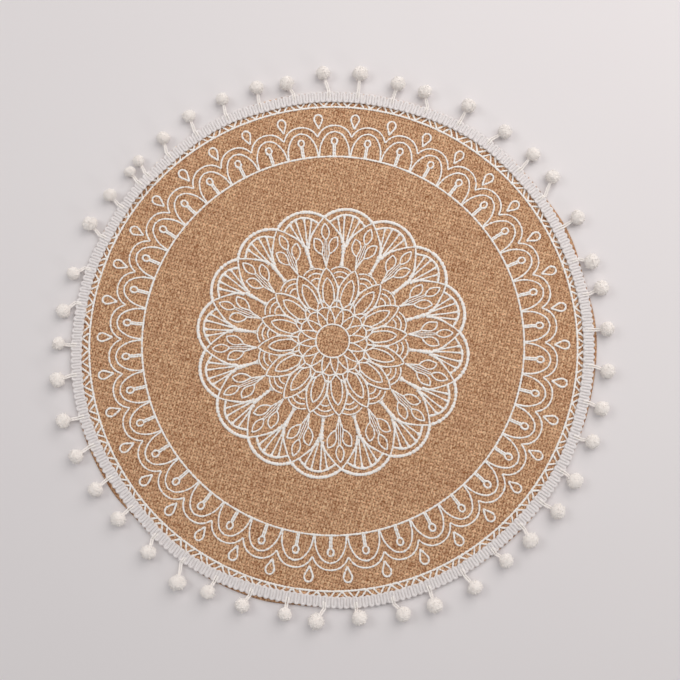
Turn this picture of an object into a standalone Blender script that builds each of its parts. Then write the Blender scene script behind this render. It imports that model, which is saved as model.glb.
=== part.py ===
"""Round jute placemat: one disc of woven jute, a white gimp braid sewn round the front of its rim, and
small pompoms that hang from the braid by doubled threads and lie on the table.

Metres, +Z up. The origin is the middle of the cloth's underside, so the table's top is z = 0. Angles are
in degrees, anticlockwise from +X, as seen from above.
"""
import math
import random

import bmesh
import bpy
from mathutils import Vector

# ---- driving dimensions -------------------------------------------------------------------------------
MM = 0.001
SEAT_GAP = 0.3 * MM            # between two pieces that touch

CLOTH_THICK = 1.3 * MM         # one layer of plain-woven jute
CLOTH_RADIUS = 189.0 * MM      # cut edge, before its unevenness
CLOTH_STEPS = 240              # corners round the cut edge

BRAID_WIDE = 8.0 * MM
BRAID_THICK = 1.6 * MM
BRAID_INNER = 180.5 * MM       # inner edge, before its unevenness
PICOTS = 268                   # turns of the gimp cord round the rim
PICOT_DEPTH = 0.9 * MM         # outer edge, from the round end of a turn to the dip between two
PICOT_HEIGHT = 0.5 * MM        # top, from the crest of a turn to the dip
INNER_DIP = 0.3 * MM
LAP_START = 139.3              # where the braid begins, with its end lapped over it
LAP_ARC = 5.4
RAMP_ARC = 2.7                 # the end climbs onto the start over this arc
RAMP_CLEAR = 0.7               # and is at full height this far before it

THREAD_HALF_WIDE = 1.25 * MM   # the two threads of a stem lie side by side
THREAD_HALF_HIGH = 0.55 * MM
THREAD_PINCH = 0.25            # height where they meet, as a share of a thread's
LOCKS = 6                      # locks of yarn in a pompom
POMPOM_LONG = 0.92             # length along the stem, as a share of the width
POMPOM_SINK = 0.86             # height of the middle, as a share of half the width
POMPOM_TWIST = 0.4             # most that a pompom is rolled about its stem, in radians
STEM_STRAIGHT = 0.3            # a stem leaves the braid square over this share of its run, and then leans
NECK_AT = 0.93                 # where the threads enter the ball, as a share of half its length
POMPOM_TRIM = 0.97             # a ball's own width, as a share of the width seen with its loose ends
POMPOM_CLEAR = 0.4 * MM        # least room between a ball and the braid

# The photo's camera, fitted to the mat's outline
CAMERA_AWAY = 688.75 * MM      # from the mat's middle
CAMERA_TILT = 7.67             # from straight above
CAMERA_TURN = 5.8              # the side of the mat that it stands on, anticlockwise from -Y

# ---- cross-sections -----------------------------------------------------------------------------------
# The braid, from its inner to its outer edge, as shares of its width and thickness: (across, up)
BRAID_SECTION = ((0.0, 0.0), (0.05, 0.75), (0.5, 1.0), (0.95, 0.75), (1.0, 0.0))
# A pompom, from its stem to its far end, as shares of half its length and width; the grooves between
# the locks deepen away from the stem, where the locks are tied together: (along, wide, groove)
POMPOM_FORM = (
    (-0.86, 0.50, 0.10), (-0.35, 0.94, 0.22), (0.25, 0.97, 0.28), (0.75, 0.70, 0.34), (1.0, 0.28, 0.40),
)

# ---- short tables of the mat's unevenness -------------------------------------------------------------
# How far the braid's line wanders outwards: (at_deg, out_mm)
BRAID_DRIFT = (
    (5, 0.0), (22, -0.4), (38, 0.3), (54, 1.7), (78, -0.7), (95, -0.5), (105, -0.9), (115, 0.0),
    (135, -1.8), (150, -1.2), (167, 0.2), (195, 1.9), (218, -0.9), (235, 0.8), (262, -1.5),
    (277, 0.3), (293, 0.4), (313, -0.2), (329, 0.9), (347, -0.1),
)
# How far the cut edge of the jute wanders outwards: (at_deg, out_mm)
CLOTH_DRIFT = (
    (2, 1.6), (14, -0.4), (25, 1.6), (36, 0.2), (57, 0.8), (78, -1.0), (112, -0.8), (138, -2.3),
    (165, -0.9), (190, 0.7), (203, 1.7), (214, 1.3), (223, -0.6), (232, -0.4), (243, 0.2),
    (254, 0.4), (264, -1.4), (272, -1.9), (290, -0.8), (312, -0.2), (330, -0.2), (345, 0.4),
)
# A row for each pompom, read by eye in the photo: where its stem leaves the braid, where its ball seems to
# lie on the table's plane, and the angle that its ball spans there.
# (stem_deg, seen_deg, seen_radius_mm from the mat's middle, seen_wide_deg)
POMPOMS = (
    (2.0, 2.5, 198.6, 3.5), (10.1, 11.2, 199.2, 3.5), (18.6, 17.2, 198.0, 3.5),
    (26.7, 26.9, 201.6, 3.5), (34.9, 36.9, 203.4, 3.2), (43.0, 43.2, 204.0, 3.2),
    (51.4, 50.9, 202.8, 3.2), (59.5, 60.2, 204.0, 3.5), (68.3, 69.8, 200.4, 3.4),
    (75.5, 75.9, 200.6, 3.6), (83.7, 84.2, 204.0, 3.5), (91.3, 92.0, 203.4, 3.3),
    (99.5, 100.0, 198.6, 3.5), (107.2, 106.6, 200.4, 3.4), (114.6, 114.4, 201.0, 3.1),
    (122.7, 122.4, 201.6, 3.0), (130.6, 129.7, 198.8, 3.2), (138.2, 136.9, 198.2, 2.85),
    (140.6, 139.9, 197.2, 2.75), (147.2, 146.6, 197.8, 3.3), (155.4, 154.0, 199.8, 3.4),
    (163.8, 165.1, 196.8, 3.1), (172.1, 173.4, 198.2, 3.2), (180.3, 180.5, 199.0, 3.1),
    (187.9, 188.0, 201.0, 3.5), (196.5, 196.6, 202.2, 3.3), (204.0, 204.3, 201.2, 3.3),
    (211.5, 212.2, 199.4, 3.4), (219.5, 219.9, 198.0, 3.4), (228.0, 229.1, 198.2, 3.4),
    (235.9, 237.5, 202.4, 3.6), (243.5, 243.8, 197.4, 3.4), (251.8, 251.3, 196.7, 3.3),
    (259.7, 260.2, 194.8, 3.3), (267.8, 266.8, 197.5, 3.5), (275.6, 275.5, 193.6, 3.6),
    (283.3, 284.4, 198.0, 3.4), (290.7, 291.0, 199.2, 3.5), (299.0, 299.8, 200.2, 3.3),
    (306.6, 308.0, 197.3, 3.3), (314.7, 314.6, 198.0, 3.6), (322.3, 322.6, 199.8, 3.5),
    (330.2, 329.8, 198.8, 3.6), (337.9, 338.6, 198.5, 3.3), (345.9, 345.8, 198.6, 3.4),
    (353.8, 353.7, 198.6, 3.5),
)


# ---- small helpers ------------------------------------------------------------------------------------
def clear_scene():
    for obj in list(bpy.data.objects):
        bpy.data.objects.remove(obj)


def material(name, colour, roughness):
    mat = bpy.data.materials.new(name)
    mat.use_nodes = True
    shader = mat.node_tree.nodes["Principled BSDF"]
    shader.inputs["Base Color"].default_value = (*colour, 1.0)
    shader.inputs["Roughness"].default_value = roughness
    shader.inputs["Metallic"].default_value = 0.0
    return mat


def on_circle(radius, degrees, height=0.0):
    turn = math.radians(degrees)
    return Vector((radius * math.cos(turn), radius * math.sin(turn), height))


def wander(table, degrees):
    """A smooth value between the rows of a table that runs round the rim."""
    degrees %= 360.0
    before = max((row for row in table if row[0] <= degrees), default=table[-1])
    after = min((row for row in table if row[0] > degrees), default=table[0])
    span = (after[0] - before[0]) % 360.0
    share = ((degrees - before[0]) % 360.0) / span
    ease = (1.0 - math.cos(math.pi * share)) / 2.0
    return (before[1] + (after[1] - before[1]) * ease) * MM


def loft(name, rings, collection, mat):
    """One closed body through rings of the same number of points, each a face at its end."""
    bm = bmesh.new()
    loops = [[bm.verts.new(point) for point in ring] for ring in rings]
    for first, second in zip(loops, loops[1:]):
        for k in range(len(first)):
            n = (k + 1) % len(first)
            bm.faces.new((first[k], first[n], second[n], second[k]))
    bm.faces.new(reversed(loops[0]))
    bm.faces.new(loops[-1])
    bmesh.ops.recalc_face_normals(bm, faces=bm.faces)
    mesh = bpy.data.meshes.new(name)
    bm.to_mesh(mesh)
    bm.free()
    mesh.materials.append(mat)
    obj = bpy.data.objects.new(name, mesh)
    collection.objects.link(obj)
    return obj


# ---- the jute disc ------------------------------------------------------------------------------------
def make_cloth(collection, mat):
    curve = bpy.data.curves.new("cloth", "CURVE")
    curve.dimensions = "2D"
    curve.fill_mode = "BOTH"
    curve.extrude = CLOTH_THICK / 2
    edge = curve.splines.new("POLY")
    edge.points.add(CLOTH_STEPS - 1)
    for k, point in enumerate(edge.points):
        at = 360.0 * k / CLOTH_STEPS
        point.co = (*on_circle(CLOTH_RADIUS + wander(CLOTH_DRIFT, at), at), 1.0)
    edge.use_cyclic_u = True
    curve.materials.append(mat)
    obj = bpy.data.objects.new("cloth", curve)
    obj.location.z = CLOTH_THICK / 2
    collection.objects.link(obj)


# ---- the gimp braid -----------------------------------------------------------------------------------
def braid_inner(degrees):
    return BRAID_INNER + wander(BRAID_DRIFT, degrees)


def braid_outer(degrees):
    return braid_inner(degrees) + BRAID_WIDE


def lap_lift(along):
    """How far the strip stands above its seat, 'along' degrees from where it begins."""
    done = (along - (360.0 - RAMP_CLEAR - RAMP_ARC)) / RAMP_ARC
    done = min(max(done, 0.0), 1.0)
    return done * done * (3.0 - 2.0 * done) * (BRAID_THICK + SEAT_GAP)


def braid_ring(step, half_picot):
    """The strip's cross-section: domed, and drawn in at every other step, between two turns of cord."""
    along = step * half_picot
    at = LAP_START + along
    dip = step % 2
    inner = braid_inner(at) + dip * INNER_DIP
    outer = braid_outer(at) - dip * PICOT_DEPTH
    top = BRAID_THICK - dip * PICOT_HEIGHT
    seat = CLOTH_THICK + SEAT_GAP + lap_lift(along)
    width = outer - inner
    return [on_circle(inner + across * width, at, seat + up * top) for across, up in BRAID_SECTION]


def make_braid(collection, mat):
    half_picot = 180.0 / PICOTS
    steps = round((360.0 + LAP_ARC) / half_picot)
    loft("braid", [braid_ring(step, half_picot) for step in range(steps + 1)], collection, mat)


# ---- the pompoms --------------------------------------------------------------------------------------
def stem_outline(centre, side, up):
    """Two round threads side by side: an oval pinched in its middle."""
    ring = []
    for k in range(2 * LOCKS):
        turn = math.pi * k / LOCKS
        across = math.cos(turn)
        high = math.sin(turn) * (THREAD_PINCH + (1.0 - THREAD_PINCH) * abs(across) ** 0.5)
        ring.append(centre + side * THREAD_HALF_WIDE * across + up * THREAD_HALF_HIGH * high)
    return ring


def ball_outline(centre, side, up, radius, groove):
    """A ring of the ball, full on each lock and drawn in by the share 'groove' between two locks."""
    ring = []
    for k in range(2 * LOCKS):
        turn = math.pi * k / LOCKS
        reach = radius * (1.0 - groove * (k % 2))
        point = centre + (side * math.cos(turn) + up * math.sin(turn)) * reach
        point.z = max(point.z, 0.0)
        ring.append(point)
    return ring


def at_a_picot(degrees):
    """The round end of a turn of cord that lies nearest to this angle."""
    picot = 360.0 / PICOTS
    return LAP_START + round((degrees - LAP_START) / picot) * picot


def ball_place(seen, half_wide):
    """The middle of a ball: up the line of sight from where it seems to lie, and clear of the braid."""
    tilt = math.radians(CAMERA_TILT)
    foot = on_circle(CAMERA_AWAY * math.sin(tilt), CAMERA_TURN - 90.0)
    height = half_wide * POMPOM_SINK
    place = seen.lerp(foot, height / (CAMERA_AWAY * math.cos(tilt)))
    at = math.degrees(math.atan2(place.y, place.x))
    nearest = braid_outer(at) + half_wide * POMPOM_LONG + POMPOM_CLEAR
    return on_circle(max(place.length, nearest), at, height)


def make_pompom(number, row, rng, collection, mat):
    stem_deg, seen_deg, seen_radius_mm, seen_wide_deg = row
    seen_radius = seen_radius_mm * MM
    half_wide = seen_radius * math.radians(seen_wide_deg) * POMPOM_TRIM / 2
    half_long = half_wide * POMPOM_LONG
    root_deg = at_a_picot(stem_deg)
    root = on_circle(braid_outer(root_deg) + SEAT_GAP, root_deg, CLOTH_THICK + SEAT_GAP + BRAID_THICK / 2)
    ball = ball_place(on_circle(seen_radius, seen_deg), half_wide)
    outwards = on_circle(1.0, root_deg)
    lean = ball - root - outwards * (ball - root).length * STEM_STRAIGHT
    along = Vector((lean.x, lean.y, 0.0)).normalized()
    up = Vector((0.0, 0.0, 1.0))
    side = up.cross(along)
    twist = rng.uniform(-POMPOM_TWIST, POMPOM_TWIST)
    rolled_side = side * math.cos(twist) + up * math.sin(twist)
    rolled_up = up * math.cos(twist) - side * math.sin(twist)
    neck = ball - along * half_long * NECK_AT
    neck.z = (root.z + ball.z) / 2
    rings = [stem_outline(root, up.cross(outwards), up), stem_outline(neck, side, up)]
    for share, wide, groove in POMPOM_FORM:
        centre = ball + along * half_long * share
        rings.append(ball_outline(centre, rolled_side, rolled_up, half_wide * wide, groove))
    loft(f"pompom_{number:02d}", rings, collection, mat)


# ---- the mat ------------------------------------------------------------------------------------------
def main():
    clear_scene()
    mat_parts = bpy.data.collections.new("jute_placemat")
    bpy.context.scene.collection.children.link(mat_parts)
    jute = material("jute_cloth", (0.456, 0.251, 0.138), 0.95)
    cotton = material("white_gimp", (0.80, 0.76, 0.73), 0.9)
    yarn = material("pompom_yarn", (0.82, 0.77, 0.72), 0.95)
    make_cloth(mat_parts, jute)
    make_braid(mat_parts, cotton)
    rng = random.Random(46)
    for number, row in enumerate(POMPOMS, 1):
        make_pompom(number, row, rng, mat_parts, yarn)


main()
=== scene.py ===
"""Looks of the round jute placemat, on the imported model: woven cloth, print, gimp braid and pompoms."""
import math
import random

import bmesh
import bpy
from mathutils import Matrix, Vector, noise
from mathutils.geometry import interpolate_bezier


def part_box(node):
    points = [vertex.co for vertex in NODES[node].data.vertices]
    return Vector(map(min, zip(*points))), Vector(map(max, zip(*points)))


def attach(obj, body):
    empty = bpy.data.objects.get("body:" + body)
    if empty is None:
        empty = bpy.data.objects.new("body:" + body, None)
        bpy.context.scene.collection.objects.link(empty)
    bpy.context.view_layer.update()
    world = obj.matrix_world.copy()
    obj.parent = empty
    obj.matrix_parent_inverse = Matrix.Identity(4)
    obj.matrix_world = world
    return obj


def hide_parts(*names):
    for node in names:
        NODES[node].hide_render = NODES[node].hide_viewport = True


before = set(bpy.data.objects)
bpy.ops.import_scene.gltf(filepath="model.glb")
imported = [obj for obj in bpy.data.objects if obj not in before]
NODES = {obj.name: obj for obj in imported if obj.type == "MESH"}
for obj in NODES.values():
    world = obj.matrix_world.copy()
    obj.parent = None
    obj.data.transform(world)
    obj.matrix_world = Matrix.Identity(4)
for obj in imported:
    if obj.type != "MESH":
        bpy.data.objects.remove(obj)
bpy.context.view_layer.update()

MM = 0.001

# ---------------------------------------------------------------- sizes, in millimetres
WARP_PITCH = 2.08  # from one warp thread to the next
WEFT_PITCH = 2.55
WARPS, WEFTS = 184, 150  # threads of the square that the cloth is cut from
WEAVE_TURN = -14.5  # degrees that the weft lies off the row's X axis
CLOTH_RADIUS = 189.0
CLOTH_TOP = 1.3
HOLE_FLOOR = 0.62  # how deep the holes of the weave go
HOLE_RIM = 0.1  # what stands this far over the floor of a hole belongs to a thread
EDGE_HEIGHT = 0.5  # of the cut edge, as a share of the weave's height
EDGE_CALM = 6.0  # the threads lie straighter, this near to the cut edge
THREAD_WANDER = 0.5  # how far a thread strays sideways
THREAD_WANDER_WIDE, THREAD_WANDER_LONG = 2.4, 22.0  # between two strays, across and along it
CLOTH_WANDER, CLOTH_WANDER_LONG = 1.2, 60.0  # how far whole parts of the cloth stray, and over what way
WANDER_SEED = 7  # noise_vector is seeded by the clock without it, and the cloth would differ each run
SWELL, SWELL_DROP = 0.2, 0.12  # how much a thread's height changes, and how far it sinks on the whole
SWELL_WIDE, SWELL_LONG = 2.0, 9.0
BRAID_INNER = 180.5
BRAID_WIDE = 8.0
BRAID_FOOT = 1.6
BRAID_TOP = 3.2
CORD_TURNS = 268  # turns of the cord on the braid's outer edge
CORD_WIDE, CORD_HIGH = 1.92, 1.24
CORD_SLACK = 0.12  # degrees that a turn of the cord strays
LAP_START, LAP_ARC, RAMP_ARC = 139.3, 5.4, 2.7  # degrees
LAP_LIFT = 1.9
POMPOM_LONG = 0.92  # along its thread, as a share of its width
THREAD_WIDE, THREAD_HIGH = 1.2, 1.0  # one of a pompom's two threads
PRINT_FOOT = 1.12
PRINT_TOP = 1.4
PRINT_STEP = 0.7  # between two points of a stroke
PRINT_SHOULDER = 0.42  # half the top of a stroke, as a share of its width
LAYERS, LAYER_STEP = 9, 0.004  # strokes lie on several levels, so that two that cross share no face
# The print's radii were read as if it lay on the table, which is a little further from the camera
PRINT_FIT = 0.998

# How far the braid and the cloth's cut edge stand out from a true circle, in (degrees, millimetres)
BRAID_DRIFT = (
    (5, 0.0), (22, -0.4), (38, 0.3), (54, 1.7), (78, -0.7), (95, -0.5), (105, -0.9), (115, 0.0),
    (135, -1.8), (150, -1.2), (167, 0.2), (195, 1.9), (218, -0.9), (235, 0.8), (262, -1.5), (277, 0.3),
    (293, 0.4), (313, -0.2), (329, 0.9), (347, -0.1),
)
CLOTH_DRIFT = (
    (2, 1.6), (14, -0.4), (25, 1.6), (36, 0.2), (57, 0.8), (78, -1.0), (112, -0.8), (138, -2.3),
    (165, -0.9), (190, 0.7), (203, 1.7), (214, 1.3), (223, -0.6), (232, -0.4), (243, 0.2), (254, 0.4),
    (264, -1.4), (272, -1.9), (290, -0.8), (312, -0.2), (330, -0.2), (345, 0.4),
)


def wander(table, degrees):
    """How far out the table says, at this angle, eased from one entry to the next all the way round."""
    degrees %= 360
    rows = [(table[-1][0] - 360, table[-1][1]), *table, (table[0][0] + 360, table[0][1])]
    for (start, before), (end, after) in zip(rows, rows[1:]):
        if start <= degrees < end:
            share = (1 - math.cos(math.pi * (degrees - start) / (end - start))) / 2
            return before + share * (after - before)
    return rows[-1][1]


def cloth_edge(degrees):
    return CLOTH_RADIUS + wander(CLOTH_DRIFT, degrees)


def polar(degrees, radius):
    turn = math.radians(degrees)
    return Vector((radius * math.cos(turn), radius * math.sin(turn), 0))


def degrees_of(place):
    return math.degrees(math.atan2(place.y, place.x)) % 360


# ---------------------------------------------------------------- camera
PICTURE = 680  # pixels
FOCAL_PIXELS = 950
CAMERA_AWAY = 0.68875  # metres from the middle of the mat
CAMERA_TILT = math.radians(7.67)  # leaning back from straight above
CAMERA_TURN = math.radians(5.8)
SHIFT_RIGHT, SHIFT_UP = 7.4, 1.1  # pixels that the mat stands left of and below the middle


def place_camera():
    across = Vector((math.cos(CAMERA_TURN), math.sin(CAMERA_TURN), 0))
    along = Vector((-math.sin(CAMERA_TURN), math.cos(CAMERA_TURN), 0))
    upward = along * math.cos(CAMERA_TILT) + Vector((0, 0, math.sin(CAMERA_TILT)))
    back = across.cross(upward)
    right = across * math.cos(CAMERA_TURN) - upward * math.sin(CAMERA_TURN)
    top = across * math.sin(CAMERA_TURN) + upward * math.cos(CAMERA_TURN)
    lens = bpy.data.cameras.new("camera")
    lens.sensor_width = 36
    lens.lens = FOCAL_PIXELS / PICTURE * lens.sensor_width
    lens.shift_x = SHIFT_RIGHT / PICTURE
    lens.shift_y = SHIFT_UP / PICTURE
    lens.clip_start = 0.01
    camera = bpy.data.objects.new("camera", lens)
    turned = Matrix((right, top, back)).transposed().to_4x4()
    camera.matrix_world = Matrix.Translation(back * CAMERA_AWAY) @ turned
    bpy.context.scene.collection.objects.link(camera)
    bpy.context.scene.camera = camera


# ---------------------------------------------------------------- materials
def linear(colour):
    """The linear values of an sRGB hex colour."""
    values = []
    for at in (0, 2, 4):
        part = int(colour[at:at + 2], 16) / 255
        values.append(part / 12.92 if part <= 0.04045 else ((part + 0.055) / 1.055) ** 2.4)
    return (*values, 1)


def add(tree, kind, inputs=None, **settings):
    """Adds a node with its settings. An input is a value, or the output of another node."""
    node = tree.nodes.new(kind)
    for name, value in settings.items():
        setattr(node, name, value)
    for socket, value in (inputs or {}).items():
        if isinstance(value, bpy.types.NodeSocket):
            tree.links.new(value, node.inputs[socket])
        else:
            node.inputs[socket].default_value = value
    return node


def new_material(name):
    made = bpy.data.materials.new(name)
    made.use_nodes = True
    return made, made.node_tree, made.node_tree.nodes["Principled BSDF"]


# The weave's patterns. A rate is how often a pattern changes in one thread's pitch.
CROSSING_SOFT = 0.15  # how softly one thread's colour gives way to the other's where they cross
SLUB_RATE = 0.28  # along a thread, while each thread has a tone of its own
FIBRE_RATE, FIBRE_FINE = 1.4, 2.6  # along a thread and across it
FIBRE_SHARE = 0.65  # of a thread's tone; the rest is its slubs
TONE_LOW, TONE_HIGH = 0.39, 0.61  # the noise of the darkest and of the lightest thread
FLUFF_RATE, FLUFF_SHARE = 1.3, 1.5  # loose fibre that fills some holes
HOLE_SHADE_FULL, HOLE_SHADE_NONE = 0.85, 1.6  # weave and fluff together, where a hole's painted shade is full and where it ends
STAIN_RATE = 0.13
FIBRE_RELIEF = 0.6  # of the fibres, as a share of the weave's
INK_RATE, INK_SHARE = 0.9, 1.1  # unevenness of the ink
INK_THIN, INK_FULL = 0.65, 1.35  # weave and ink together, where it is thin and where it covers


def weave_height(tree, lattice):
    """The height of a plain weave, and how far the warp lies over the weft. A thread is one unit wide."""
    parts = add(tree, "ShaderNodeSeparateXYZ", {0: lattice})
    waves = []
    for axis in (0, 1):
        phase = add(tree, "ShaderNodeMath", {0: parts.outputs[axis], 1: math.pi}, operation="MULTIPLY")
        waves.append(add(tree, "ShaderNodeMath", {0: phase.outputs[0]}, operation="SINE").outputs[0])
    swap = add(tree, "ShaderNodeMath", {0: waves[0], 1: waves[1]}, operation="MULTIPLY").outputs[0]
    ridges = [add(tree, "ShaderNodeMath", {0: wave}, operation="ABSOLUTE").outputs[0] for wave in waves]
    warp = add(tree, "ShaderNodeMath", {0: ridges[0], 1: swap}, operation="ADD").outputs[0]
    weft = add(tree, "ShaderNodeMath", {0: ridges[1], 1: swap}, operation="SUBTRACT").outputs[0]
    top = add(tree, "ShaderNodeMath", {0: warp, 1: weft}, operation="MAXIMUM").outputs[0]
    lead = add(tree, "ShaderNodeMath", {0: warp, 1: weft}, operation="SUBTRACT").outputs[0]
    over = add(
        tree, "ShaderNodeMapRange",
        {0: lead, 1: -CROSSING_SOFT, 2: CROSSING_SOFT}, interpolation_type="SMOOTHSTEP",
    )
    return top, over.outputs[0]


def thread_tone(tree, lattice, along):
    """Light and dark of single threads that run along x (0) or y (1), with slubs and fibres along them."""
    slub_way = [1.0, 1.0, 1.0]
    slub_way[along] = SLUB_RATE
    slubs = add(tree, "ShaderNodeVectorMath", {0: lattice, 1: slub_way}, operation="MULTIPLY")
    slow = add(tree, "ShaderNodeTexNoise", {"Vector": slubs.outputs[0], "Scale": 1.0, "Detail": 2.0})
    fibre_way = [FIBRE_FINE, FIBRE_FINE, 1.0]
    fibre_way[along] = FIBRE_RATE
    fibres = add(tree, "ShaderNodeVectorMath", {0: lattice, 1: fibre_way}, operation="MULTIPLY")
    quick = add(tree, "ShaderNodeTexNoise", {"Vector": fibres.outputs[0], "Scale": 1.0, "Detail": 3.0})
    tone = add(
        tree, "ShaderNodeMix",
        {"Factor": FIBRE_SHARE, "A": slow.outputs["Fac"], "B": quick.outputs["Fac"]}, data_type="FLOAT",
    )
    spread = {0: tone.outputs["Result"], 1: TONE_LOW, 2: TONE_HIGH, 3: 0.0, 4: 1.0}
    return add(tree, "ShaderNodeMapRange", spread).outputs[0]


def woven_jute():
    """Jute, spun thick and uneven and woven plain: dry, without shine, straw-brown, with painted shade in the
    little gaps of its weave.
    """
    made, tree, skin = new_material("woven_jute")
    skin.inputs["Roughness"].default_value = 0.92
    skin.inputs["Specular IOR Level"].default_value = 0.18
    spot = add(tree, "ShaderNodeUVMap", uv_map="OFBake")
    lattice = add(
        tree, "ShaderNodeMapping", {"Vector": spot.outputs[0], "Scale": (WARPS, WEFTS, 1)},
    ).outputs[0]
    top, over = weave_height(tree, lattice)
    warp = thread_tone(tree, lattice, 1)
    weft = thread_tone(tree, lattice, 0)
    warp_colour = add(
        tree, "ShaderNodeMix",
        {"Factor": warp, "A": linear("A87550"), "B": linear("FFDDB6")}, data_type="RGBA",
    ).outputs["Result"]
    weft_colour = add(
        tree, "ShaderNodeMix",
        {"Factor": weft, "A": linear("9A6742"), "B": linear("FFD3AC")}, data_type="RGBA",
    ).outputs["Result"]
    threads = add(
        tree, "ShaderNodeMix", {"Factor": over, "A": weft_colour, "B": warp_colour}, data_type="RGBA",
    )
    fluff = add(tree, "ShaderNodeTexNoise", {"Vector": lattice, "Scale": FLUFF_RATE, "Detail": 3.0})
    filled = add(
        tree, "ShaderNodeMath", {0: fluff.outputs["Fac"], 1: FLUFF_SHARE, 2: top}, operation="MULTIPLY_ADD",
    )
    # Where the threads part, the weave is painted the dark brown 7A5236: painted shade in its holes, less
    # where loose fibre fills them
    hole = add(
        tree, "ShaderNodeMapRange",
        {0: filled.outputs[0], 1: HOLE_SHADE_FULL, 2: HOLE_SHADE_NONE, 3: 0.0, 4: 1.0}, interpolation_type="SMOOTHSTEP",
    )
    colour = add(
        tree, "ShaderNodeMix",
        {"Factor": hole.outputs[0], "A": linear("7A5236"), "B": threads.outputs["Result"]}, data_type="RGBA",
    )
    patch = add(
        tree, "ShaderNodeTexNoise",
        {"Vector": lattice, "Scale": STAIN_RATE, "Detail": 4.0, "Roughness": 0.6},
    )
    stain = add(
        tree, "ShaderNodeMix",
        {"Factor": patch.outputs["Fac"], "A": linear("DDD0CA"), "B": linear("FFFDF8")}, data_type="RGBA",
    )
    batch = add(
        tree, "ShaderNodeMix",
        {"Factor": 1.0, "A": colour.outputs["Result"], "B": stain.outputs["Result"]},
        data_type="RGBA", blend_type="MULTIPLY",
    )
    tree.links.new(batch.outputs["Result"], skin.inputs["Base Color"])
    fibre = add(tree, "ShaderNodeMath", {0: warp, 1: FIBRE_RELIEF, 2: top}, operation="MULTIPLY_ADD")
    bump = add(
        tree, "ShaderNodeBump", {"Strength": 0.5, "Distance": 0.2 * MM, "Height": fibre.outputs[0]},
    )
    tree.links.new(bump.outputs[0], skin.inputs["Normal"])
    return made


def pigment_ink():
    """White water-based ink, screened on to the thread tops: chalky, matt, and broken by the weave."""
    made, tree, skin = new_material("pigment_ink")
    skin.inputs["Roughness"].default_value = 0.85
    skin.inputs["Specular IOR Level"].default_value = 0.25
    spot = add(tree, "ShaderNodeTexCoord")
    turned = add(
        tree, "ShaderNodeMapping",
        {"Vector": spot.outputs["Object"], "Rotation": (0, 0, math.radians(-WEAVE_TURN))},
    )
    lattice = add(
        tree, "ShaderNodeMapping",
        {"Vector": turned.outputs[0], "Scale": (1 / (WARP_PITCH * MM), 1 / (WEFT_PITCH * MM), 1)},
    ).outputs[0]
    top = weave_height(tree, lattice)[0]
    thin = add(tree, "ShaderNodeTexNoise", {"Vector": lattice, "Scale": INK_RATE, "Detail": 3.0})
    cover = add(
        tree, "ShaderNodeMath", {0: thin.outputs["Fac"], 1: INK_SHARE, 2: top}, operation="MULTIPLY_ADD",
    )
    film = add(
        tree, "ShaderNodeMapRange",
        {0: cover.outputs[0], 1: INK_THIN, 2: INK_FULL, 3: 0.0, 4: 1.0}, interpolation_type="SMOOTHSTEP",
    )
    colour = add(
        tree, "ShaderNodeMix",
        {"Factor": film.outputs[0], "A": linear("F8DEC8"), "B": linear("FFFCF8")}, data_type="RGBA",
    )
    tree.links.new(colour.outputs["Result"], skin.inputs["Base Color"])
    bump = add(
        tree, "ShaderNodeBump", {"Strength": 0.4, "Distance": 0.15 * MM, "Height": cover.outputs[0]},
    )
    tree.links.new(bump.outputs[0], skin.inputs["Normal"])
    return made


def gimp_cord():
    """Bleached cotton gimp cord, wrapped round a core: clean white with a low sheen and fine wraps."""
    blotch, wrap = 3 * MM, 0.5 * MM
    made, tree, skin = new_material("gimp_cord")
    skin.inputs["Roughness"].default_value = 0.7
    skin.inputs["Specular IOR Level"].default_value = 0.35
    skin.inputs["Sheen Weight"].default_value = 0.15
    place = add(tree, "ShaderNodeTexCoord").outputs["Object"]
    patch = add(tree, "ShaderNodeTexNoise", {"Vector": place, "Scale": 1 / blotch, "Detail": 3.0})
    colour = add(
        tree, "ShaderNodeMix",
        {"Factor": patch.outputs["Fac"], "A": linear("DFD8D6"), "B": linear("F9F4F3")}, data_type="RGBA",
    )
    tree.links.new(colour.outputs["Result"], skin.inputs["Base Color"])
    wraps = add(tree, "ShaderNodeTexNoise", {"Vector": place, "Scale": 1 / wrap, "Detail": 1.0})
    bump = add(
        tree, "ShaderNodeBump", {"Strength": 0.35, "Distance": 0.12 * MM, "Height": wraps.outputs["Fac"]},
    )
    tree.links.new(bump.outputs[0], skin.inputs["Normal"])
    return made


def cut_yarn():
    """Soft cut yarn, tied and trimmed to a ball: cream white and dull, with ends that stand up all over."""
    tuft = 1.1 * MM
    made, tree, skin = new_material("cut_yarn")
    skin.inputs["Roughness"].default_value = 0.95
    skin.inputs["Specular IOR Level"].default_value = 0.15
    skin.inputs["Diffuse Roughness"].default_value = 1.0
    skin.inputs["Sheen Weight"].default_value = 0.4
    place = add(tree, "ShaderNodeTexCoord").outputs["Object"]
    ends = add(tree, "ShaderNodeTexNoise", {"Vector": place, "Scale": 1 / tuft, "Detail": 3.0})
    colour = add(
        tree, "ShaderNodeMix",
        {"Factor": ends.outputs["Fac"], "A": linear("FBF3EE"), "B": linear("FFFDFA")}, data_type="RGBA",
    )
    tree.links.new(colour.outputs["Result"], skin.inputs["Base Color"])
    bump = add(
        tree, "ShaderNodeBump", {"Strength": 0.5, "Distance": 0.4 * MM, "Height": ends.outputs["Fac"]},
    )
    tree.links.new(bump.outputs[0], skin.inputs["Normal"])
    return made


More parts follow.
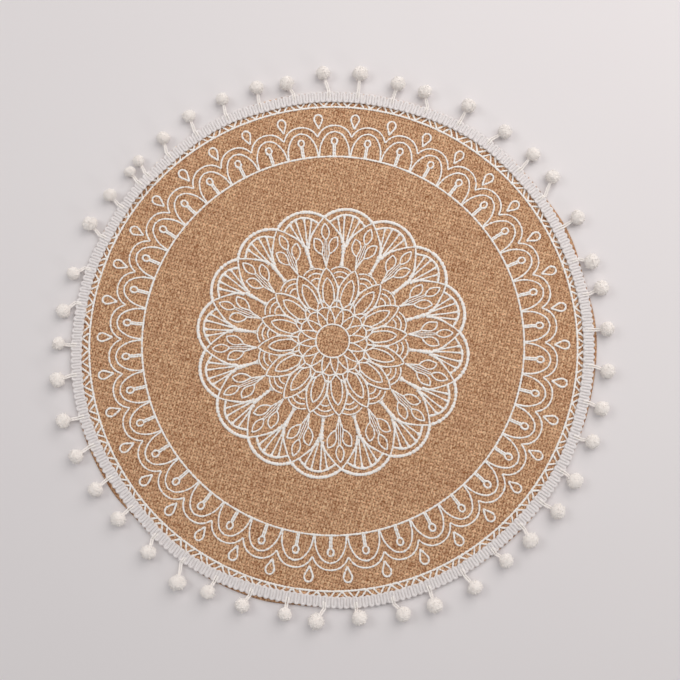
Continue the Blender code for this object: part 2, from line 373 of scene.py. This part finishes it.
def table_paint():
    """A plain painted table top: pale, slightly warm grey and quite matt."""
    made, tree, skin = new_material("table_paint")
    skin.inputs["Roughness"].default_value = 0.8
    skin.inputs["Specular IOR Level"].default_value = 0.2
    spot = add(tree, "ShaderNodeTexCoord")
    cloud = add(tree, "ShaderNodeTexNoise", {"Vector": spot.outputs["Object"], "Scale": 6.0, "Detail": 2.0})
    colour = add(
        tree, "ShaderNodeMix",
        {"Factor": cloud.outputs["Fac"], "A": linear("E8E3E4"), "B": linear("EBE7E7")}, data_type="RGBA",
    )
    tree.links.new(colour.outputs["Result"], skin.inputs["Base Color"])
    return made


# ---------------------------------------------------------------- pieces
def finish_piece(name, data, material, slot, *stands_for):
    """Makes an object of a mesh, in its place, that rides on the mat and stands for these CAD nodes."""
    piece = bpy.data.objects.new(name, data)
    bpy.context.scene.collection.objects.link(piece)
    data.materials.clear()
    data.materials.append(material)
    data.shade_smooth()
    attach(piece, "root")
    if stands_for:
        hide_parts(*stands_for)
    return piece


def mesh_of(shape, name):
    """A finished mesh of a bmesh, which is let go."""
    data = bpy.data.meshes.new(name)
    shape.to_mesh(data)
    shape.free()
    return data


def cut_round(warps, wefts):
    """A grid of cells, cut to the cloth's edge. It lies on the lattice, not yet turned as the cloth is."""
    side = bmesh.new()
    spread = Matrix.Diagonal((WARPS * WARP_PITCH * MM, WEFTS * WEFT_PITCH * MM, 1, 1))
    bmesh.ops.create_grid(side, x_segments=warps, y_segments=wefts, size=0.5, matrix=spread)
    outside = []
    for face in side.faces:
        middle = face.calc_center_median()
        if middle.length > cloth_edge(degrees_of(middle) + WEAVE_TURN) * MM:
            outside.append(face)
    bmesh.ops.delete(side, geom=outside, context="FACES")
    for vert in side.verts:
        if vert.is_boundary:
            bearing = degrees_of(vert.co)
            vert.co = polar(bearing, cloth_edge(bearing + WEAVE_TURN) * MM)
    return side


def thread_height(across, along):
    """How high the weave stands, 0 in a hole and 1 on a top thread, at a place measured in threads."""
    warp, weft = math.sin(math.pi * across), math.sin(math.pi * along)
    return max(abs(warp) + warp * weft, abs(weft) - warp * weft) / 2


def woven_cloth(material):
    """The round cloth: every thread crossing stands up between four holes, over a plain underside."""
    cloth = cut_round(2 * WARPS, 2 * WEFTS)
    for vert in cloth.verts:
        height = thread_height(vert.co.x / (WARP_PITCH * MM), vert.co.y / (WEFT_PITCH * MM))
        if vert.is_boundary:
            height = EDGE_HEIGHT
        vert.co.z = (HOLE_FLOOR + (CLOTH_TOP - HOLE_FLOOR) * height) * MM
    underside = cut_round(WARPS // 2, WEFTS // 2)
    bmesh.ops.reverse_faces(underside, faces=underside.faces[:])
    data = mesh_of(underside, "underside")
    cloth.from_mesh(data)
    bpy.data.meshes.remove(data)
    bmesh.ops.bridge_loops(cloth, edges=[edge for edge in cloth.edges if edge.is_boundary])
    bmesh.ops.recalc_face_normals(cloth, faces=cloth.faces[:])
    spot = cloth.loops.layers.uv.new("OFBake")
    for face in cloth.faces:
        for loop in face.loops:
            across = loop.vert.co.x / (WARPS * WARP_PITCH * MM) + 0.5
            along = loop.vert.co.y / (WEFTS * WEFT_PITCH * MM) + 0.5
            loop[spot].uv = (across, along)
    for vert in cloth.verts:
        loosen(vert)
    turn = Matrix.Rotation(math.radians(WEAVE_TURN), 3, "Z")
    bmesh.ops.rotate(cloth, cent=(0, 0, 0), matrix=turn, verts=cloth.verts[:])
    return finish_piece("jute_cloth", mesh_of(cloth, "jute_cloth"), material, "jute", "cloth")


def loosen(vert):
    """Lets the threads of the cloth wander and swell a little, less and less towards its cut edge.

    The last value of each place in the noise only keeps one pattern apart from the next.
    """
    place = vert.co / MM
    inside = cloth_edge(degrees_of(place) + WEAVE_TURN) - place.to_2d().length
    give = min(1, max(0, inside / EDGE_CALM))
    warp = noise.noise(Vector((place.x / THREAD_WANDER_WIDE, place.y / THREAD_WANDER_LONG, 3.1)))
    weft = noise.noise(Vector((place.x / THREAD_WANDER_LONG, place.y / THREAD_WANDER_WIDE, 8.7)))
    drift = noise.noise_vector(Vector((place.x / CLOTH_WANDER_LONG, place.y / CLOTH_WANDER_LONG, 1.3)))
    vert.co.x += (THREAD_WANDER * warp + CLOTH_WANDER * drift.x) * give * MM
    vert.co.y += (THREAD_WANDER * weft + CLOTH_WANDER * drift.y) * give * MM
    if place.z > HOLE_FLOOR + HOLE_RIM:
        swell = noise.noise(Vector((place.x / SWELL_WIDE, place.y / SWELL_LONG, 5.0)))
        vert.co.z += (SWELL * swell - SWELL_DROP) * MM


# ---------------------------------------------------------------- the print
def smooth(knots):
    """Points along a smooth line through the knots, each (place, width), a print step apart."""
    points = []
    last = len(knots) - 1
    for at in range(last):
        here, there = knots[at][0], knots[at + 1][0]
        before = knots[at - 1][0] if at else here * 2 - there
        after = knots[at + 2][0] if at + 2 <= last else there * 2 - here
        count = max(2, round((there - here).length / PRINT_STEP) + 1)
        # A sixth of the way between its neighbours is where a smooth line's handle stands from a knot
        leave, arrive = here + (there - before) / 6, there - (after - here) / 6
        curve = interpolate_bezier(here, leave, arrive, there, count)
        for step, place in enumerate(curve[:-1] if at + 1 < last else curve):
            share = step / (count - 1)
            points.append((place, knots[at][1] + share * (knots[at + 1][1] - knots[at][1])))
    return points


def weave_under(place):
    """How high the weave stands under a place on the mat."""
    turned = Matrix.Rotation(math.radians(-WEAVE_TURN), 3, "Z") @ place
    return thread_height(turned.x / WARP_PITCH, turned.y / WEFT_PITCH)


def swept(name, lines, outline):
    """A mesh of the closed outline swept along lines. A line is (points, closed), a point (place, scale)."""
    section = bpy.data.curves.new("section", "CURVE")
    section.dimensions = "2D"
    rim = section.splines.new("POLY")
    rim.points.add(len(outline) - 1)
    rim.use_cyclic_u = True
    for point, (side, level) in zip(rim.points, outline):
        point.co = (side * MM, level * MM, 0, 1)
    section_shape = bpy.data.objects.new("section", section)
    path = bpy.data.curves.new(name, "CURVE")
    path.dimensions = "3D"
    path.twist_mode = "Z_UP"
    path.bevel_mode = "OBJECT"
    path.bevel_object = section_shape
    path.use_fill_caps = True
    for points, closed in lines:
        line = path.splines.new("POLY")
        line.points.add(len(points) - 1)
        line.use_cyclic_u = closed
        for point, (place, scale) in zip(line.points, points):
            point.co = (*(place * MM), 1)
            point.radius = scale
    path_shape = bpy.data.objects.new(name, path)
    for shape in (section_shape, path_shape):
        bpy.context.scene.collection.objects.link(shape)
    graph = bpy.context.evaluated_depsgraph_get()
    data = bpy.data.meshes.new_from_object(path_shape.evaluated_get(graph))
    for shape in (section_shape, path_shape):
        bpy.data.objects.remove(shape)
    data.name = name
    return data


def oval(wide, high, sides):
    """The outline of a cord: this wide and high, drawn with this many sides."""
    turns = [2 * math.pi * side / sides for side in range(sides)]
    return [(wide / 2 * math.cos(turn), high / 2 * math.sin(turn)) for turn in turns]


def soaked(place):
    """How wide the ink stands here: less where the weave sinks away, and uneven as it runs."""
    least, on_thread = 0.66, 0.36  # shares of a stroke's width, in a hole and added on a thread
    run, run_over = 0.4, 1.3  # how much the ink runs, as a share of the width, and over how many mm
    return least + on_thread * weave_under(place) + run * noise.noise(place / run_over)


def printed(name, strokes, material):
    """Lays the strokes on the thread tops as flat strips, a little narrower where the weave sinks away."""
    foot, top = PRINT_FOOT - CLOTH_TOP, PRINT_TOP - CLOTH_TOP
    strip = ((-0.5, foot), (-PRINT_SHOULDER, top), (PRINT_SHOULDER, top), (0.5, foot))
    lines = []
    for count, (points, closed) in enumerate(strokes):
        level = Vector((0, 0, CLOTH_TOP + LAYER_STEP * (count % LAYERS)))
        laid = [(place + level, wide * soaked(place)) for place, wide in points]
        lines.append((laid, closed))
    return finish_piece(name, swept(name, lines, strip), material, "jute")


def repeated(knots, times):
    """A stroke of (degrees, radius, width) knots, smoothed and laid round the mat this many times."""
    strokes = []
    for turn in range(times):
        bearing = 360 / times * turn
        places = [(polar(bearing + at, out * PRINT_FIT), wide) for at, out, wide in knots]
        strokes.append((smooth(places), False))
    return strokes


def circle(radius, wide, swing=0.0, times=1, first=0.0):
    """A closed ring, which may swing in and out this many times."""
    count = round(2 * math.pi * radius / PRINT_STEP)
    points = []
    for step in range(count):
        at = 360 / count * step
        out = radius - swing * math.cos(math.radians(times * (at - first)))
        points.append((polar(at, out * PRINT_FIT), wide))
    return (points, True)


# How often each motif is repeated, and at how many degrees its first one stands
PETALS, ARCHES, ZIGZAGS = 16, 38, 64
PETAL_AXIS = 5.0
GAP_AXIS = 16.25  # of the gap between two inner petals
ARC_AXIS = 15.6
FAN_AXIS, FAN_STEM_AXIS = 15.15, 15.8
ARCH_CUSP, DROP_AXIS, BEAD_AXIS = -0.5, -1.0, 4.28
ZIGZAG_FOOT, ZIGZAG_PEAK = 2.15, 4.93


def mandala():
    """The round ornament in the middle: sixteen petals, arcs, leaf sprigs and fans."""
    strokes = [circle(12.2, 1.4), circle(24.75, 1.3, 0.55, PETALS, PETAL_AXIS)]
    strokes += repeated([(GAP_AXIS, 12.2, 1.3), (GAP_AXIS, 15.6, 1.4)], PETALS)
    for side in (-1, 1):
        arch = ((0, 15.0, 1.3), (5.9, 19.8, 1.2), (11.25, 24.2, 1.3))
        strokes += repeated([(GAP_AXIS + side * off, out, wide) for off, out, wide in arch], PETALS)
    seed = ((22.9, 1.5), (24.4, 2.1), (25.8, 1.6))
    strokes += repeated([(PETAL_AXIS, out, wide) for out, wide in seed], PETALS)
    # Each side of a petal: (radius, half the petal's width there)
    inner_petal = (
        (24.5, 0), (27, 1.8), (29.5, 3.58), (32, 3.99), (36, 4.07), (40, 3.66), (44, 2.2), (46.8, 0),
    )
    outer_petal = (
        (54.3, 0), (51, 2.8), (47, 4.9), (42.5, 6.6), (38.5, 7.15), (36, 6.9), (33, 6.3), (30.8, 5.5),
    )
    hook = ((8.7, 29.4, 1.2), (7.0, 28.9, 1.2))  # the end of the outer petal curls in
    for side in (-1, 1):
        strokes += repeated(petal_side(inner_petal, side), PETALS)
        curl = [(PETAL_AXIS + side * off, out, wide) for off, out, wide in hook]
        strokes += repeated(petal_side(outer_petal, side) + curl, PETALS)
    strokes += repeated([(GAP_AXIS, 25.2, 1.3), (GAP_AXIS, 30.2, 1.4)], PETALS)
    bud = ((35.0, 1.0), (38, 1.9), (39.7, 1.6), (41.3, 0.5))
    strokes += repeated([(GAP_AXIS, out, wide) for out, wide in bud], PETALS)
    for out, dip, reach in ((55, 2.3, 8.1), (51.4, 1.6, 5.9), (47.6, 1.1, 4.0)):
        shares = (-1, -0.5, 0, 0.5, 1)
        arc = [(ARC_AXIS + share * reach, out - dip * share * share, 1.3) for share in shares]
        strokes += repeated(arc, PETALS)
    return strokes + sprigs() + fans()


def petal_side(rows, side):
    """One side of a petal, from (radius, half the petal's width) rows."""
    return [(PETAL_AXIS + side * math.degrees(half / out), out, 1.35) for out, half in rows]


def sprig_line(rows, side, wide=1.3):
    """One line of a sprig, from (degrees off its axis, radius) rows. The sprig leans back further out."""
    lean, lean_from, lean_over = 1.2, 55, 20  # degrees, and the radii between which it leans
    knots = []
    for off, out in rows:
        leant = lean * min(1, max(0, (out - lean_from) / lean_over))
        knots.append((PETAL_AXIS - leant + side * off, out, wide))
    return repeated(knots, PETALS)


def sprigs():
    """A stem with a long leaf on top and a leaf at either side."""
    root = ((0, 55), (1.2, 60), (2.35, 64.8))
    stem = ((0.1, 57), (0.6, 61), (0.62, 65), (0.6, 70), (0.4, 75))
    top_leaf = ((0, 75), (1.3, 77.3), (2.0, 80.8), (1.35, 84.6), (0, 87.6))
    outer_side = ((2.35, 64.6), (4.6, 66.2), (6.4, 69), (7.0, 72), (6.3, 77.2))
    inner_side = ((6.3, 77.2), (4.0, 76.2), (2.4, 73.8), (1.75, 70.5), (2.35, 65))
    strokes = []
    for side in (-1, 1):
        strokes += sprig_line(root, side)
        strokes += sprig_line(stem, side, 0.75)
        for rows in (top_leaf, outer_side, inner_side):
            strokes += sprig_line(rows, side)
    return strokes


def fans():
    """A ribbed fan under a double scallop, on a stem that runs down between two petals."""
    middle, reach, drawn_in = 74.75, 24.05, 0.2  # the outer scallop is part of a circle
    scallop = []
    for lean in range(-48, 49, 6):
        out = middle + reach * math.cos(math.radians(lean))
        across = reach * math.sin(math.radians(lean))
        at = FAN_AXIS + math.degrees(math.atan2(across, out))
        scallop.append((at, math.hypot(out, across) - drawn_in, 2.6))
    strokes = repeated(scallop, PETALS)
    inner_scallop = (
        (-8.2, 88.2), (-5.1, 92.1), (-2.4, 94.0), (0, 94.4), (2.5, 94.0), (5.3, 92.2), (8.9, 88.6),
    )
    strokes += repeated([(FAN_AXIS + at, out, 1.9) for at, out in inner_scallop], PETALS)
    runs_on = (
        (11.1, 92.7, 1.5), (13.6, 88.6, 1.35), (15.5, 85.3, 1.4), (19.1, 79, 1.9), (20.9, 74.5, 2.3),
        (21.9, 70.5, 2.4),
    )
    for side in (-1, 1):
        strokes += repeated([(FAN_AXIS + side * at, out, wide) for at, out, wide in runs_on], PETALS)
    # A rib's bearing off the fan's axis at its top, middle, low part and foot
    ribs = (
        (-5.1, -3.8, -2.7, -1.0), (-1.95, -1.45, -0.95, -0.5), (1.95, 1.75, 1.6, 1.3), (4.8, 3.85, 3.0, 1.9),
    )
    for top, half_way, low, foot in ribs:
        crown = 93.6 if abs(top) < 3 else 91.9  # the two ribs in the middle reach further
        rib = [
            (FAN_AXIS + top * 1.03, crown, 3.2), (FAN_AXIS + top * 0.97, crown - 2.4, 1.6),
            (FAN_AXIS + half_way, 84, 1.25), (FAN_AXIS + low, 79, 1.5), (FAN_AXIS + foot, 73, 2.0),
        ]
        strokes += repeated(rib, PETALS)
    trunk = ((73.0, 2.2), (71, 3.8), (68.5, 3.8), (66, 3.0), (61, 2.4), (57.5, 2.9), (55.8, 4.8))
    return strokes + repeated([(FAN_STEM_AXIS, out, wide) for out, wide in trunk], PETALS)


def border():
    """The band of doubled arches between two rings, a teardrop in each gap, a ringed stem in each arch."""
    half = 180 / ARCHES
    crown = ARCH_CUSP + half
    # Lines as (degrees, radius): the arches from their cusp to their crown, the drop from its axis
    inner_arch = ((0.15, 138.6), (0.35, 143), (0.75, 147.5), (1.7, 152.5), (3.0, 156.3), (half, 158))
    outer_arch = ((0, 153.9), (0.9, 157.8), (2.1, 160.7), (3.4, 162.2), (half, 162.7))
    drop = ((0, 160.3), (0.42, 163), (0.9, 166), (1.03, 168.3), (0.62, 170.6), (0, 171.3))
    stem_apart, stem_foot, stem_top = 0.26, 139.0, 147.8
    bead_middle, bead_half_long = 150.4, 2.75
    bead_half_wide, bead_read_at = 2.15, 150.3  # and the radius that turns this width into degrees
    strokes = [circle(138.6, 1.65), circle(177.0, 1.65)]
    for side in (-1, 1):
        for rows in (inner_arch, outer_arch):
            strokes += repeated([(crown + side * (half - off), out, 1.45) for off, out in rows], ARCHES)
        strokes += repeated([(DROP_AXIS + side * off, out, 1.6) for off, out in drop], ARCHES)
        stem_at = BEAD_AXIS + side * stem_apart
        strokes += repeated([(stem_at, stem_foot, 1.45), (stem_at, stem_top, 1.45)], ARCHES)
        bead = []
        for turn in (math.pi * step / 4 for step in range(5)):
            across = side * math.degrees(bead_half_wide * math.sin(turn) / bead_read_at)
            bead.append((BEAD_AXIS + across, bead_middle - bead_half_long * math.cos(turn), 1.65))
        strokes += repeated(bead, ARCHES)
    return strokes


def zigzag():
    """The outermost band: nested zigzags that run out under the braid."""
    half = 180 / ZIGZAGS
    strokes = []
    for side in (-1, 1):
        wide_line = [(ZIGZAG_FOOT, 177.4, 1.6), (ZIGZAG_FOOT + side * half, 188.0, 1.6)]
        hanging = [(ZIGZAG_PEAK, 182.5, 1.5), (ZIGZAG_PEAK + side * 1.19, 177.5, 1.5)]
        standing = [(ZIGZAG_FOOT, 181.8, 1.5), (ZIGZAG_FOOT + side * 1.0, 185.5, 1.5)]
        for line in (wide_line, hanging, standing):
            strokes += repeated(line, ZIGZAGS)
    return strokes


# ---------------------------------------------------------------- braid
def lap_lift(degrees):
    """How far the braid's upper end is lifted where it laps over its lower end."""
    past = degrees % 360 - LAP_START
    if past < -RAMP_ARC or past > LAP_ARC + RAMP_ARC:
        return 0
    rise = min(1, (past + RAMP_ARC) / RAMP_ARC, (LAP_ARC + RAMP_ARC - past) / RAMP_ARC)
    return LAP_LIFT * max(0, rise)


def on_braid(degrees, across, level):
    """A place on the braid, this far from its inner to its outer edge, and this high in millimetres."""
    place = polar(degrees, BRAID_INNER + wander(BRAID_DRIFT, degrees) + across * BRAID_WIDE)
    place.z = level + lap_lift(degrees)
    return place


def gimp_braid(material):
    """One cord laid to and fro all round the rim, each turn against the next, on a tape that holds it."""
    tape_steps = 1440
    tape = [(on_braid(360 / tape_steps * step, 0.5, BRAID_FOOT), 1) for step in range(tape_steps)]
    # One turn of the cord: (share of the turn, share of the way across the braid)
    turn_shape = (
        (0.00, 0.18), (0.00, 0.50), (0.00, 0.81), (0.07, 0.88), (0.18, 0.91), (0.32, 0.91), (0.43, 0.88),
        (0.50, 0.81), (0.50, 0.50), (0.50, 0.18), (0.57, 0.11), (0.68, 0.08), (0.82, 0.08), (0.93, 0.11),
    )
    cord = []
    for turn in range(CORD_TURNS):
        for share, across in turn_shape:
            at = 360 * (turn + share) / CORD_TURNS
            slack = CORD_SLACK * noise.noise(Vector((turn * 0.9, across * 0.8, 2.0)))
            cord.append((on_braid(at + slack, across, BRAID_TOP - CORD_HIGH / 2), 1 + 0.8 * slack))
    braid = bmesh.new()
    domed_tape = ((-3.6, 0.0), (-3.4, 0.6), (-2.6, 0.85), (2.6, 0.85), (3.4, 0.6), (3.6, 0.0))
    for name, line, outline in (("tape", tape, domed_tape), ("cord", cord, oval(CORD_WIDE, CORD_HIGH, 10))):
        data = swept(name, [(line, True)], outline)
        braid.from_mesh(data)
        bpy.data.meshes.remove(data)
    return finish_piece("braid_cord", mesh_of(braid, "braid_cord"), material, "gimp", "braid")


# ---------------------------------------------------------------- pompoms
# A ball of yarn, in shares of its radius
YARN_ENDS = 420  # cut ends on a pompom
HEART = 0.93  # what the ends stand on
END_FOOT, END_TIP, END_LONG = 0.11, 0.045, 0.34  # a cut end's radii and its length
END_LEAN = 0.12
TRIMMED, STRAY, TRIMMED_SHARE = (0.94, 1.05), (1.05, 1.16), 0.88  # how far out the ends reach
GOLDEN_TURN = 2.39996  # radians from one end to the next, which spreads them evenly
ROUND = 6.28  # radians
LUMP_BASE, LUMP, LUMP_RATE = 0.99, 0.1, 1.5
# A thread over the braid, in mm: (out past its edge, up from its top, share of the lap's lift, to its side)
THREAD_OVER = (
    (-4.4, -0.35, 1.0, 0.8), (-2.6, 0.25, 1.0, 0.8), (-0.7, 0.1, 1.0, 0.78), (0.5, -0.5, 0.5, 0.72),
)


def ball_of(name):
    """Middle, direction and half sizes, in metres, of a pompom node's ball, the part away from its thread."""
    root = root_of(name)
    places = [vert.co - root for vert in NODES[name].data.vertices]
    reach = max(place.to_2d().length for place in places)
    tip = sum((place for place in places if place.to_2d().length > reach - 0.5 * MM), Vector())
    along = Vector((tip.x, tip.y, 0)).normalized()
    side = Vector((-along.y, along.x, 0))
    across = [place.dot(side) for place in places]
    half_wide = (max(across) - min(across)) / 2
    half_long = half_wide * POMPOM_LONG
    far = max(place.dot(along) for place in places)
    middle = root + along * (far - half_long) + side * (max(across) + min(across)) / 2
    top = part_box(name)[1].z
    middle.z = top / 2
    return middle, along, Vector((half_long, half_wide, top / 2))


def root_of(name):
    """Where a pompom's doubled thread leaves the braid, in metres."""
    places = [vert.co for vert in NODES[name].data.vertices]
    nearest = min(place.to_2d().length for place in places)
    ends = [place for place in places if place.to_2d().length < nearest + 0.2 * MM]
    return sum(ends, Vector()) / len(ends)


def yarn_ball(seed):
    """A trimmed ball of yarn, one unit in radius: a lumpy heart under hundreds of cut ends."""
    dice = random.Random(seed)
    ball = bmesh.new()
    bmesh.ops.create_icosphere(ball, subdivisions=3, radius=HEART)
    for count in range(YARN_ENDS):
        level = 1 - 2 * (count + 0.5) / YARN_ENDS
        ring = math.sqrt(1 - level * level)
        bearing = GOLDEN_TURN * count
        outward = Vector((ring * math.cos(bearing), ring * math.sin(bearing), level))
        outward += Vector([dice.uniform(-END_LEAN, END_LEAN) for axis in range(3)])
        tip = dice.uniform(*(TRIMMED if dice.random() < TRIMMED_SHARE else STRAY))
        seat = outward.to_track_quat("Z", "Y").to_matrix().to_4x4()
        bmesh.ops.create_cone(
            ball, segments=4, radius1=END_FOOT, radius2=END_TIP, depth=END_LONG, cap_ends=True,
            matrix=seat @ Matrix.Translation((0, 0, tip - END_LONG / 2)),
        )
    for vert in ball.verts:
        lump = noise.noise(vert.co * LUMP_RATE + Vector((seed * 3.1, 0, 0)))
        vert.co *= LUMP_BASE + LUMP * lump
    return mesh_of(ball, "yarn_ball")


def pompom(name, number, material, balls):
    """A yarn ball with its doubled thread, which starts in the middle of the braid and runs over its edge."""
    middle, along, half = ball_of(name)
    dice = random.Random(number)
    ball = bmesh.new()
    ball.from_mesh(balls[number % len(balls)])
    turn = Matrix.Rotation(dice.uniform(0, ROUND), 4, "Z") @ Matrix.Rotation(dice.uniform(0, ROUND), 4, "X")
    bmesh.ops.transform(ball, matrix=turn, verts=ball.verts[:])
    lie = Matrix.Rotation(math.atan2(along.y, along.x), 4, "Z") @ Matrix.Diagonal((*half, 1))
    bmesh.ops.transform(ball, matrix=Matrix.Translation(middle) @ lie, verts=ball.verts[:])
    for vert in ball.verts:
        vert.co.z = max(vert.co.z, 0.05 * MM)
    threads = swept(name, doubled_thread(root_of(name) / MM, middle / MM), oval(THREAD_WIDE, THREAD_HIGH, 8))
    ball.from_mesh(threads)
    bpy.data.meshes.remove(threads)
    return finish_piece(name.replace("pompom", "yarn_pompom"), mesh_of(ball, name), material, "yarn", name)


def doubled_thread(root, middle):
    """Two threads side by side, from inside the braid, over its edge, down to the ball."""
    bearing = degrees_of(root)
    outward = polar(bearing, 1)
    aside = Vector((0, 0, 1)).cross(middle - root).normalized()
    places = []
    for past_edge, over_top, lift_share, spread in THREAD_OVER:
        place = root + outward * past_edge
        place.z = BRAID_TOP + over_top + lap_lift(bearing) * lift_share
        places.append((place, spread))
    near = root + (middle - root) * 0.4
    near.z = root.z * 0.6 + middle.z * 0.4
    inside = middle + (root - middle) * 0.3
    inside.z = middle.z * 0.9
    places += [(near, 0.66), (inside, 0.4)]
    paths = []
    for side in (-1, 1):
        knots = [(place + aside * side * spread, 1) for place, spread in places]
        paths.append((smooth(knots), False))
    return paths


# ---------------------------------------------------------------- table and light
def set_table(material):
    top = bmesh.new()
    bmesh.ops.create_grid(top, x_segments=2, y_segments=2, size=2.0)
    bmesh.ops.translate(top, vec=(0, 0, -0.05 * MM), verts=top.verts[:])
    table = bpy.data.objects.new("table_top", mesh_of(top, "table_top"))
    table.data.materials.append(material)
    bpy.context.scene.collection.objects.link(table)


def lamp(name, place, size, power, colour):
    light = bpy.data.lights.new(name, "AREA")
    light.shape = "DISK"
    light.size = size
    light.energy = power
    light.color = linear(colour)[:3]
    holder = bpy.data.objects.new(name, light)
    holder.location = place
    holder.rotation_euler = Vector(place).to_track_quat("Z", "Y").to_euler()
    bpy.context.scene.collection.objects.link(holder)


def set_light():
    lamp("key", (-0.96, 0.38, 1.23), 0.8, 4.8, "FFFEFD")
    lamp("overhead", (0.48, 0.52, 0.85), 1.2, 7.3, "FFFBF9")
    lamp("low_fill", (1.36, -1.22, 0.81), 0.35, 2.6, "FFFFFF")
    world = bpy.data.worlds.new("room")
    world.use_nodes = True
    world.node_tree.nodes["Background"].inputs["Color"].default_value = linear("FBFBFC")
    world.node_tree.nodes["Background"].inputs["Strength"].default_value = 0.34
    bpy.context.scene.world = world
    bpy.context.scene.view_settings.view_transform = "Standard"


# ---------------------------------------------------------------- the mat
noise.seed_set(WANDER_SEED)
place_camera()
jute, ink, gimp, yarn = woven_jute(), pigment_ink(), gimp_cord(), cut_yarn()
balls = [yarn_ball(seed) for seed in range(6)]
for number, name in enumerate(sorted(NODES)):
    if name.startswith("pompom"):
        pompom(name, number, yarn, balls)
for ball in balls:
    bpy.data.meshes.remove(ball)
braid = gimp_braid(gimp)
prints = [
    printed("print_mandala", mandala(), ink),
    printed("print_border", border(), ink),
    printed("print_zigzag", zigzag(), ink),
]
cloth = woven_cloth(jute)
set_table(table_paint())
set_light()
